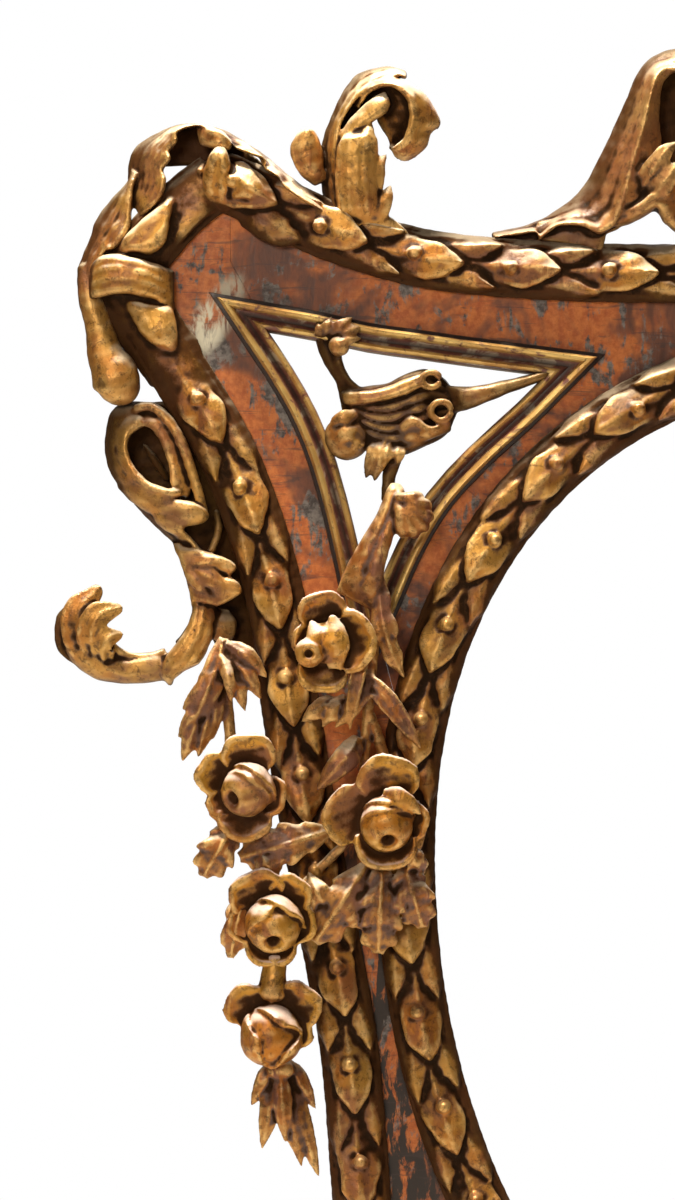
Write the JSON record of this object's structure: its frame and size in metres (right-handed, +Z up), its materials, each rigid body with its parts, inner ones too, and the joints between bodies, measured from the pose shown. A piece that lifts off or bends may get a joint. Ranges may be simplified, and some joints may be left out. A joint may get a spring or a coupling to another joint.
{
  "type": "carved wall frame",
  "caption": "Carved and gilded wall frame with an oval sight opening, pierced corner spandrels, rose garlands and a leaf crest.",
  "frame": {"origin": "centre of the back face of the top batten, on the plane of the wall", "axes": "+X to the viewer's right, -Y out of the wall towards the viewer, +Z up"},
  "size_m": [1.6078, 0.1223, 1.631],
  "materials": {
    "gilt_wood": "worn water gilding over red bole on carved wood, dark patina in the hollows",
    "painted_wood": "worn orange-red paint with dark rubbed patches on carved wood; bare wood on the back",
    "bead": "maroon painted cove with a worn gilt bead",
    "bare_wood": "bare aged softwood",
    "iron": "blackened wrought iron"
  },
  "bodies": {
    "root": {"bottom_batten": "bare_wood", "bottom_rail": "painted_wood", "crest_cartouche": "gilt_wood", "left_button_screw": "iron", "left_corner_acanthus": "gilt_wood", "left_crest_leaf": "gilt_wood", "left_eye_scroll": "gilt_wood", "left_foot_clasp": "gilt_wood", "left_garland_leaves": "gilt_wood", "left_hanger_plate": "iron", "left_hanger_screw_1": "iron", "left_hanger_screw_2": "iron", "left_lower_brace": "painted_wood", "left_lower_spandrel_bead": "bead", "left_rose_bud": "gilt_wood", "left_rose_high": "gilt_wood", "left_rose_large": "gilt_wood", "left_rose_low": "gilt_wood", "left_rose_outer": "gilt_wood", "left_spandrel_scroll": "gilt_wood", "left_stile": "painted_wood", "left_top_scroll": "gilt_wood", "left_upper_brace": "painted_wood", "left_upper_spandrel_bead": "bead", "outer_leaf_bottom": "gilt_wood", "outer_leaf_left": "gilt_wood", "outer_leaf_right": "gilt_wood", "outer_leaf_top": "gilt_wood", "right_button_screw": "iron", "right_corner_acanthus": "gilt_wood", "right_crest_leaf": "gilt_wood", "right_eye_scroll": "gilt_wood", "right_foot_clasp": "gilt_wood", "right_garland_leaves": "gilt_wood", "right_hanger_plate": "iron", "right_hanger_screw_1": "iron", "right_hanger_screw_2": "iron", "right_lower_brace": "painted_wood", "right_lower_spandrel_bead": "bead", "right_rose_bud": "gilt_wood", "right_rose_high": "gilt_wood", "right_rose_large": "gilt_wood", "right_rose_low": "gilt_wood", "right_rose_outer": "gilt_wood", "right_spandrel_scroll": "gilt_wood", "right_stile": "painted_wood", "right_top_scroll": "gilt_wood", "right_upper_brace": "painted_wood", "right_upper_spandrel_bead": "bead", "sight_leaf_lower": "gilt_wood", "sight_leaf_upper": "gilt_wood", "top_batten": "bare_wood", "top_button_screw": "iron", "top_rail": "painted_wood"},
    "left_hanging_ring": {"left_hanging_ring": "iron"},
    "left_turn_button": {"left_turn_button": "bare_wood"},
    "right_hanging_ring": {"right_hanging_ring": "iron"},
    "right_turn_button": {"right_turn_button": "bare_wood"},
    "top_turn_button": {"top_turn_button": "bare_wood"}
  },
  "joints": [
    {"name": "left_ring_hinge", "type": "hinge", "parent": "root", "child": "left_hanging_ring", "pos_m": [-0.53, -0.0064, -0.39], "axis": [1, 0, 0], "range_deg": [0, 170]},
    {"name": "right_ring_hinge", "type": "hinge", "parent": "root", "child": "right_hanging_ring", "pos_m": [0.53, -0.0064, -0.39], "axis": [1, 0, 0], "range_deg": [0, 170]},
    {"name": "top_button_pivot", "type": "hinge", "parent": "root", "child": "top_turn_button", "pos_m": [0, -0.012, -0.057], "axis": [0, 1, 0], "range_deg": [0, 90]},
    {"name": "left_button_pivot", "type": "hinge", "parent": "root", "child": "left_turn_button", "pos_m": [-0.463, -0.012, -0.625], "axis": [0, 1, 0], "range_deg": [-90, 90]},
    {"name": "right_button_pivot", "type": "hinge", "parent": "root", "child": "right_turn_button", "pos_m": [0.463, -0.012, -0.625], "axis": [0, 1, 0], "range_deg": [-90, 90]}
  ]
}
